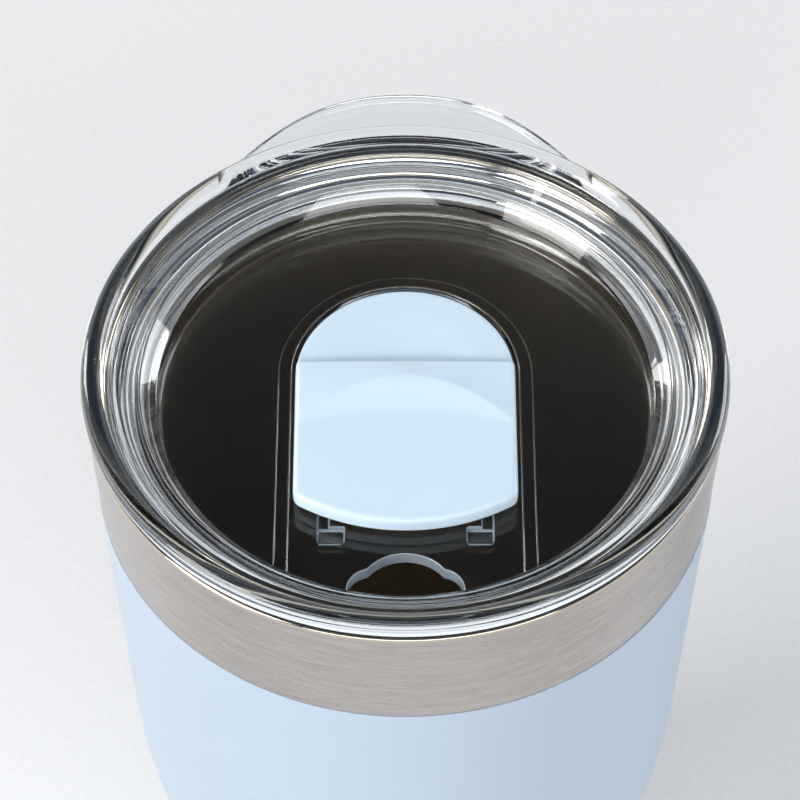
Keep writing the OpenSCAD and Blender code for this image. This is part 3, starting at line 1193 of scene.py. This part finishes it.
    def tab(self) -> Surface:
        """Thumb tab: at each angle a thin section with a round edge and a hollow behind its border.

        The outer edge's radius is a bell curve over the angle from +Y, from inside the flange's
        rounded section out to the tab's reach.

        Returns:
            The closed surface.
        """
        edge, count = self.tab_edge, self.tab_steps
        angle = np.radians(np.linspace(-1.6, 1.6, count) * self.tab_spread)
        share = np.abs(np.degrees(angle)) / self.tab_spread
        outer = self.bead_x + (self.tab_reach + self.bead_r) * np.exp(-(share**self.tab_power))
        low = self.lid_z + self.tab_lift
        high = self.lid_z + self.tab_lift + self.tab_t
        hollow_z = high - self.tab_hollow
        turn = np.radians(np.linspace(90.0, -90.0, 13))
        lift = np.sign(np.sin(turn)) * (self.tab_t / 2 - edge) + edge * np.sin(turn)
        fall = np.linspace(1.0, 0.0, 7)
        ramp = high - self.tab_hollow * blend(fall)
        heights = np.concatenate([[hollow_z], ramp, (low + high) / 2 + lift, [low]])
        behind = self.tab_border + self.tab_ramp * fall
        back = np.concatenate([[0.0], behind, edge * (1 - np.cos(turn)), [0.0]])
        radius = np.maximum(outer[:, None] - back[None, :], self.bead_x - 0.9)
        radius[:, [0, -1]] = self.bead_x - 1.0
        points = np.stack(
            [
                radius * np.sin(angle)[:, None],
                radius * np.cos(angle)[:, None],
                np.broadcast_to(heights, radius.shape),
            ],
            axis=-1,
        )
        around = points.shape[1]
        ends = np.vstack([np.arange(around), (count - 1) * around + np.arange(around)[::-1]])
        return Surface(points.reshape(-1, 3), [strips(count, around, False, True), ends])

    def rib(self) -> Surface:
        """Raised rib: a bar along both sides of the slider, with a half circle behind it."""
        middle = self.plan.half + self.side_gap + self.rib_w / 2
        a = np.radians(np.linspace(0.0, 180.0, 97))
        arc = np.column_stack([middle * np.cos(a), self.rib_y + middle * np.sin(a)])
        start = -math.sqrt((self.recess_r + self.bar_root) ** 2 - middle**2)
        side = np.linspace(start, self.rib_y, 30)[:-1]
        path = np.vstack(
            [
                np.column_stack([np.full(len(side), middle), side]),
                arc,
                np.column_stack([np.full(len(side), -middle), side[::-1]]),
            ]
        )
        w = self.rib_w / 2
        section = rounded(
            corners(
                (-w, -self.bar_root, 0.0),
                (w, -self.bar_root, 0.0),
                (w, self.rib_h, 0.45),
                (-w, self.rib_h, 0.45),
            )
        )
        section[:, 1] += self.deck_z
        return swept(path, section)

    def guide(self, side: float) -> Surface:
        """Guide: an L section carried lengthways, its flange turned in over the slider's foot."""
        far = self.guide_in + self.guide_w
        web = self.guide_w - self.guide_reach
        section = rounded(
            corners(
                (far, -self.bar_root, 0.0),
                (far, self.guide_h, 0.2),
                (self.guide_in, self.guide_h, 0.2),
                (self.guide_in, self.guide_h - self.guide_t, 0.12),
                (far - web, self.guide_h - self.guide_t, 0.1),
                (far - web, -self.bar_root, 0.0),
            ),
            count=4,
        )
        section[:, 0] *= -side
        section[:, 1] += self.deck_z
        path = np.array([[0.0, -self.guide_front], [0.0, -self.guide_back]])
        return swept(path, section)

    def pockets(self, side: float) -> list[Surface]:
        """Cutters for the pocket in front of a guide and the channel that leads back to it."""
        low, high = self.guide_in - self.pocket_in, self.guide_in + self.guide_w
        front = -self.plan.front - self.pocket_start

        def cutter(near: float, far: float, back: float, deep: float) -> Surface:
            """Rounded cutter between two places across, back to a place along, to a depth."""
            left, right = (near, far) if side > 0 else (-far, -near)
            ahead = corners((left, front, 0.6), (right, front, 0.6))
            behind = corners((right, back, 0.3), (left, back, 0.3))
            loop = rounded(np.vstack([ahead, behind]))
            return plate(loop, self.deck_z - deep, self.deck_z, 0.2, 0.22)

        return [
            cutter(low, high, front + self.pocket_len, self.pocket_deep),
            cutter(high - self.channel_w, high, -self.channel_back, self.channel_deep),
        ]

    def slot(self) -> Surface:
        """Drinking slot, as a cutter with a rounded upper lip.

        Seen from a point inside it, the outline's distance at each angle is the further of the long
        hole's and the straw notch's, and never past the circle that keeps it off the front wall.

        Returns:
            The closed surface.
        """
        notch_y = self.slot_depth - self.recess_r - self.straw_r
        slot_y = notch_y + 0.7
        eye = np.array([0.0, -29.5])
        a = np.linspace(0.0, 2.0 * math.pi, 360, endpoint=False)
        ray = np.column_stack([np.cos(a), np.sin(a)])

        def reach(x: float, y: float, r: float) -> np.ndarray:
            """Distance from the eye to the far side of a circle, or -1 where the ray misses it."""
            to = np.array([x, y]) - eye
            along = ray @ to
            under = along**2 - to @ to + r * r
            return np.where(under > 0, along + np.sqrt(np.maximum(under, 0.0)), -1.0)

        side = np.where(ray[:, 1] > 0, slot_y - eye[1], eye[1] - slot_y)

        def outline(grow: float) -> np.ndarray:
            """Slot's outline grown outwards by a distance."""
            flat = (side + self.slot_end_r + grow) / np.maximum(np.abs(ray[:, 1]), 1e-6)
            within = np.abs(flat * ray[:, 0]) <= self.slot_half
            hole = np.maximum.reduce(
                [
                    np.where(within, flat, 0.0),
                    reach(self.slot_half, slot_y, self.slot_end_r + grow),
                    reach(-self.slot_half, slot_y, self.slot_end_r + grow),
                    reach(0.0, notch_y, self.straw_r + grow),
                ]
            )
            distance = np.minimum(hole, reach(0.0, 0.0, self.recess_r - self.slot_strip + grow))
            return eye + ray * distance[:, None]

        turn = np.radians(np.linspace(0.0, 90.0, 7))
        grows = [0.0, *(self.slot_lip * (1 - np.cos(turn))), self.slot_lip]
        rises = [-self.deck_t - 1.0, *(self.slot_lip * (np.sin(turn) - 1)), 1.0]
        return stacked([outline(grow) for grow in grows], [self.deck_z + rise for rise in rises])

    def gasket_section(self) -> np.ndarray:
        """Silicone ring in its groove, with two lips that reach up and out to the liner."""
        w = self.walls
        outer = self.skirt_r + 0.05
        top = -self.groove_top - 0.1
        bottom = -self.groove_top - self.gasket_h + 0.1
        lip_t, rise = 0.6, 0.5

        def lip(height: float) -> np.ndarray:
            """Corner rows of one lip whose root's top is at a height."""
            reach = float(w.radius(self.lid_z + height)) - w.wall - 0.2
            return corners(
                (outer - 0.3, height - lip_t, 0.1),
                (reach, height - lip_t + rise, 0.2),
                (reach, height + rise, 0.2),
                (outer - 0.3, height, 0.1),
            )

        rows = np.vstack(
            [
                corners((self.groove_r, bottom, 0.1), (outer - 0.3, bottom, 0.1)),
                lip(bottom + 0.8),
                lip(top - 1.1),
                corners((outer - 0.3, top, 0.1), (self.groove_r, top, 0.1)),
            ]
        )
        rows[:, 1] += self.lid_z
        return rounded(rows)


# ---------------------------------------------------------------------------------------------
# Slider
# ---------------------------------------------------------------------------------------------


@dataclass
class Slider:
    """The sliding closure: cover, foot under the guides, and silicone seal."""

    lid: Lid
    plan: SliderPlan
    finishes: Palette
    bottom: float = 0.3
    rim: float = 0.7
    top: float = 3.05
    tail: float = 1.3
    hollow: float = 2.3
    wall: float = 1.0
    step_y: float = 6.05
    crest_h: float = 1.55
    edge: float = 0.8
    tail_edge: float = 0.45
    dish_d: float = 0.4
    dish_half: float = 10.3
    dish_len: float = 9.5
    step_lip: float = 0.35
    crest_y: float = 2.3
    crest_bow: float = 7.1
    scoop_y: float = -3.4
    scoop_bow: float = 1.6
    bow_half: float = 15.0
    rise_power: float = 1.25
    fall_share: float = 0.94
    crest_soft: float = 0.16
    foot_half: float = 11.0
    foot_back: float = 3.5
    foot_in: float = 1.3
    foot_low: float = 0.65
    foot_t: float = 0.6
    stem_half: float = 8.3
    stem_back: float = 3.0
    stem_in: float = 2.3
    stem_low: float = 0.8
    seal_len: float = 10.8
    seal_low: float = 0.15
    seal_t: float = 0.5
    thin_edge: float = 0.12

    def build(self) -> None:
        """Builds and dresses the three pieces."""
        blue = self.finishes.slider.material()
        cover = self.cover().to_object("slider")
        finished(cover, "slider", blue)
        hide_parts("slider_cover")
        foot = self.foot_plate().to_object("slider_foot_piece")
        combined(foot, [self.stem()], Cut.ADD)
        finished(foot, "slider", blue)
        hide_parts("slider_foot")
        seal = self.seal().to_object("slider_seal_piece")
        finished(seal, "slider", self.finishes.silicone.material())
        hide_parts("slider_seal")

    def relief(self, x: np.ndarray, y: np.ndarray) -> np.ndarray:
        """Height of the thumb crest over the flat top.

        A crowned height, 0 at the sides, times the lesser of two ramps: one rises from the scoop's
        floor line to the crest line, the other falls from the crest line to the step. Both lines
        bow forward towards the sides.

        Args:
            x: Places across.
            y: Places along.

        Returns:
            Heights.
        """
        share = x / self.bow_half
        crown = self.crest_h * np.maximum(1 - (x / self.plan.half) ** 2, 0.0)
        crest = self.crest_y - self.crest_bow * share**2
        floor = self.scoop_y - self.scoop_bow * share**2
        rise = np.clip((y - floor) / np.maximum(crest - floor, 0.2), 0.0, 2.0)
        fall = 1 - self.fall_share * (y - crest) / (self.step_y - crest)
        rise = rise**self.rise_power
        least = 0.5 * (rise + fall - np.sqrt((rise - fall) ** 2 + self.crest_soft**2))
        return crown * np.maximum(least, 0.0)

    def cover(self) -> Surface:
        """Cover: a height over the plan, carried on down its side, under its rim and up inside.

        The grid's columns are places across, and its rows run from the front line to the step and
        from the step to the tail line. Near the outline the height drops by edge - sqrt(edge
        squared - (edge - depth) squared), which is a rounded edge.

        Returns:
            The closed surface.
        """
        plan = self.plan
        tau = np.linspace(-1.0, 1.0, 141)
        x = plan.half * (0.55 * np.sin(tau * math.pi / 2) + 0.45 * tau)
        front, back = plan.front_line(x), plan.back_line(x)
        step = np.minimum(self.step_y, back - 0.08)
        main_y = front + (step - front) * eased(131)[:, None]
        tail_y = step + 0.04 + (back - step - 0.04) * eased(41)[:, None]
        xs = np.broadcast_to(x, main_y.shape)
        xt = np.broadcast_to(x, tail_y.shape)
        lip = np.clip(step - main_y, 0.0, self.step_lip)
        main_z = self.top + self.relief(xs, main_y) - self.drop(plan.depth(xs, main_y), self.edge)
        main_z = main_z - self.drop(lip, self.step_lip)
        bowl = 1 - (xt / self.dish_half) ** 2 - ((tail_y - self.step_y) / self.dish_len) ** 2
        tail_z = self.tail - self.drop(plan.depth(xt, tail_y), self.tail_edge)
        tail_z = tail_z - self.dish_d * np.maximum(bowl, 0.0)
        main = np.stack([xs, main_y, main_z], axis=-1)
        tail = np.stack([xt, tail_y, tail_z], axis=-1)
        grid = np.concatenate([main, tail], axis=0)
        rows, columns = grid.shape[:2]
        number = np.arange(rows * columns).reshape(rows, columns)
        rim = np.concatenate([number[0], number[1:, -1], number[-1, -2::-1], number[-2:0:-1, 0]])
        points = grid.reshape(-1, 3)
        outer = points[rim, :2]
        inner = inset(outer, self.wall)
        inner[:, 1] = np.minimum(inner[:, 1], self.step_y - self.wall)
        low = self.rim - (self.rim - self.bottom) * blend((outer[:, 1] - 4.4) / 1.2)
        rings = [
            (outer, low + 0.2),
            (inset(outer, 0.2), low),
            (inner, low),
            (inner, np.full(len(inner), self.hollow)),
        ]
        under = np.vstack([np.column_stack([p, h]) for p, h in rings])
        first = len(points) + np.arange(len(rim))
        after = np.roll(np.arange(len(rim)), -1)
        skirt = np.column_stack([rim, rim[after], first[after], first])
        lower = strips(len(rings), len(rim), False, True) + len(points)
        cap = (first + 3 * len(rim))[None, :]
        points = np.vstack([points, under])
        points[:, 2] += self.lid.deck_z
        return Surface(points, [strips(rows, columns, False, False), skirt, lower, cap])

    def drop(self, depth: np.ndarray, radius: float) -> np.ndarray:
        """Fall of a rounded edge at a depth inside it."""
        left = np.clip(radius - depth, 0.0, radius)
        return radius - np.sqrt(np.maximum(radius * radius - left * left, 0.0))

    def under_outline(self, half: float, back: float, d: float) -> np.ndarray:
        """Outline with a bowed front set in by d from the cover's, straight sides and back.

        Args:
            half: Half its width.
            back: Place of its back edge.
            d: Distance from the cover's front.

        Returns:
            Anticlockwise points.
        """
        arc = self.plan.front_arc(d, half)
        arc[[0, -1], 2] = 0.5
        return rounded(np.vstack([arc, corners((half, back, 0.5), (-half, back, 0.5))]))

    def foot_plate(self) -> Surface:
        """Flat plate that runs under the guides' flanges."""
        z = self.lid.deck_z + self.foot_low
        outline = self.under_outline(self.foot_half, self.foot_back, self.foot_in)
        return plate(outline, z, z + self.foot_t, self.thin_edge)

    def stem(self) -> Surface:
        """Block that joins the foot plate to the cover."""
        z = self.lid.deck_z
        outline = self.under_outline(self.stem_half, self.stem_back, self.stem_in)
        return plate(outline, z + self.stem_low, z + self.hollow, 0.0)

    def seal(self) -> Surface:
        """Pad under the front of the foot."""
        z = self.lid.deck_z + self.seal_low
        back = -self.plan.front + self.seal_len
        outline = self.under_outline(self.foot_half, back, self.foot_in)
        return plate(outline, z, z + self.seal_t, self.thin_edge)


# ---------------------------------------------------------------------------------------------
# Pieces inside the walls, whose CAD shapes stay
# ---------------------------------------------------------------------------------------------


@dataclass
class InsideWalls:
    """Foil, vacuum disc, port seal, getter and clip."""

    finishes: Palette

    def build(self) -> None:
        """Gives each CAD node its finish."""
        stamped = self.finishes.stamped.material()
        finishes = {
            "heat_foil": self.finishes.foil.material(),
            "vacuum_base": stamped,
            "vacuum_seal": self.finishes.glass.material(),
            "getter": self.finishes.getter.material(),
            "getter_clip": stamped,
        }
        for name, material in finishes.items():
            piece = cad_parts[name]
            for place in piece.material_slots:
                place.material = material
            LOG.info("%s: CAD shape with %s", name, material.name)


# ---------------------------------------------------------------------------------------------
# Studio
# ---------------------------------------------------------------------------------------------


@dataclass(frozen=True)
class Lamp:
    """A soft rectangular lamp."""

    name: str
    place: tuple[float, float, float]
    size: tuple[float, float]
    watts: float
    colour: Colour = (1.0, 1.0, 1.0)

    def build(self, target: Vector) -> None:
        """Sets the lamp up facing a target."""
        light = bpy.data.lights.new(self.name, "AREA")
        light.shape = "RECTANGLE"
        light.size, light.size_y = self.size
        light.energy = self.watts
        light.color = self.colour
        lamp = bpy.data.objects.new(self.name, light)
        lamp.location = self.place
        lamp.rotation_euler = (target - Vector(self.place)).to_track_quat("-Z", "Y").to_euler()
        bpy.context.scene.collection.objects.link(lamp)


@dataclass
class Studio:
    """Floor, soft lamps round the tumbler, surrounding light and camera, with places in metres."""

    floor_r: float = 3.0
    paper: Finish = Finish("floor_paper", (0.855, 0.845, 0.835), 0.85)
    horizon: Colour = (1.02, 1.07, 1.14)
    ceiling: Colour = (0.03, 0.045, 0.075)
    horizon_to: float = 0.30
    ceiling_from: float = 0.62
    bounces: int = 40
    target: tuple[float, float, float] = (0.0, 0.0, 0.12)
    lamps: tuple[Lamp, ...] = (
        Lamp("lamp_left", (-1.4, -0.8, 1.3), (1.0, 1.3), 29.0, (1.0, 0.985, 0.96)),
        Lamp("lamp_front", (0.2, -1.4, 1.25), (2.2, 0.4), 16.0),
        Lamp("lamp_back_left", (-1.1, 0.85, 0.55), (0.25, 0.6), 4.5),
        Lamp("lamp_back_right", (1.2, 0.7, 0.6), (0.5, 0.7), 6.5, (0.95, 0.98, 1.0)),
    )
    lens_mm: float = 157.4
    sensor_mm: float = 36.0
    camera_place: tuple[float, float, float] = (-0.00076, -0.30521, 0.5413)
    camera_tilt: float = 38.415

    def build(self) -> None:
        """Sets the studio up."""
        self.floor()
        for lamp in self.lamps:
            lamp.build(Vector(self.target))
        self.surroundings()
        self.camera()
        scene = bpy.context.scene
        scene.view_settings.view_transform = "Standard"
        scene.cycles.max_bounces = self.bounces
        scene.cycles.transmission_bounces = self.bounces
        scene.cycles.transparent_max_bounces = self.bounces

    def floor(self) -> None:
        """A flat round floor."""
        radii = np.array([0.0, 0.3, 1.0, self.floor_r]) / MM
        rings = len(radii) - 1
        a = np.linspace(0.0, 2.0 * math.pi, FLOOR_STEPS, endpoint=False)
        x, y = radii[1:, None] * np.cos(a), radii[1:, None] * np.sin(a)
        ring = np.stack([x, y, np.zeros((rings, FLOOR_STEPS))], axis=-1)
        points = np.vstack([[[0.0, 0.0, 0.0]], ring.reshape(-1, 3)])
        number = np.arange(FLOOR_STEPS)
        fan = np.column_stack([np.zeros_like(number), 1 + number, 1 + np.roll(number, -1)])
        faces = [fan, strips(rings, FLOOR_STEPS, False, True) + 1]
        ground = Surface(points, faces).to_object("floor")
        ground.data.materials.append(self.paper.material())

    def surroundings(self) -> None:
        """Light from all round: a bright band near the floor, fading to a dark ceiling."""
        world = bpy.data.worlds.new("surroundings")
        world.use_nodes = True
        tree = world.node_tree
        facing = output(new_node(tree, "ShaderNodeTexCoord"), "Generated")
        apart = new_node(tree, "ShaderNodeSeparateXYZ", {"Vector": facing})
        ramp = new_node(tree, "ShaderNodeValToRGB", {"Fac": output(apart, "Z")})
        stops = ramp.color_ramp.elements
        stops[0].color, stops[1].color = (*self.horizon, 1.0), (*self.ceiling, 1.0)
        stops[0].position, stops[1].position = self.horizon_to, self.ceiling_from
        sky = tree.nodes["Background"]
        tree.links.new(ramp.outputs["Color"], sky.inputs["Color"])
        sky.inputs["Strength"].default_value = 1.0
        bpy.context.scene.world = world

    def camera(self) -> None:
        """Camera above the drinking side, looking down at the lid."""
        lens = bpy.data.cameras.new("camera")
        lens.lens = self.lens_mm
        lens.sensor_width = self.sensor_mm
        lens.dof.use_dof = False
        seen = bpy.data.objects.new("camera", lens)
        seen.location = self.camera_place
        seen.rotation_euler = (math.radians(self.camera_tilt), 0.0, 0.0)
        bpy.context.scene.collection.objects.link(seen)
        bpy.context.scene.camera = seen


def main() -> None:
    """Builds each class in order."""
    logging.basicConfig(level=logging.INFO, format="%(message)s")
    finishes, walls, plan = Palette(), Walls(), SliderPlan()
    TumblerBody(walls, finishes).build()
    lid = Lid(walls, plan, finishes)
    lid.build()
    Slider(lid, plan, finishes).build()
    InsideWalls(finishes).build()
    Studio().build()
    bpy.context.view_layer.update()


if __name__ == "__main__":
    main()
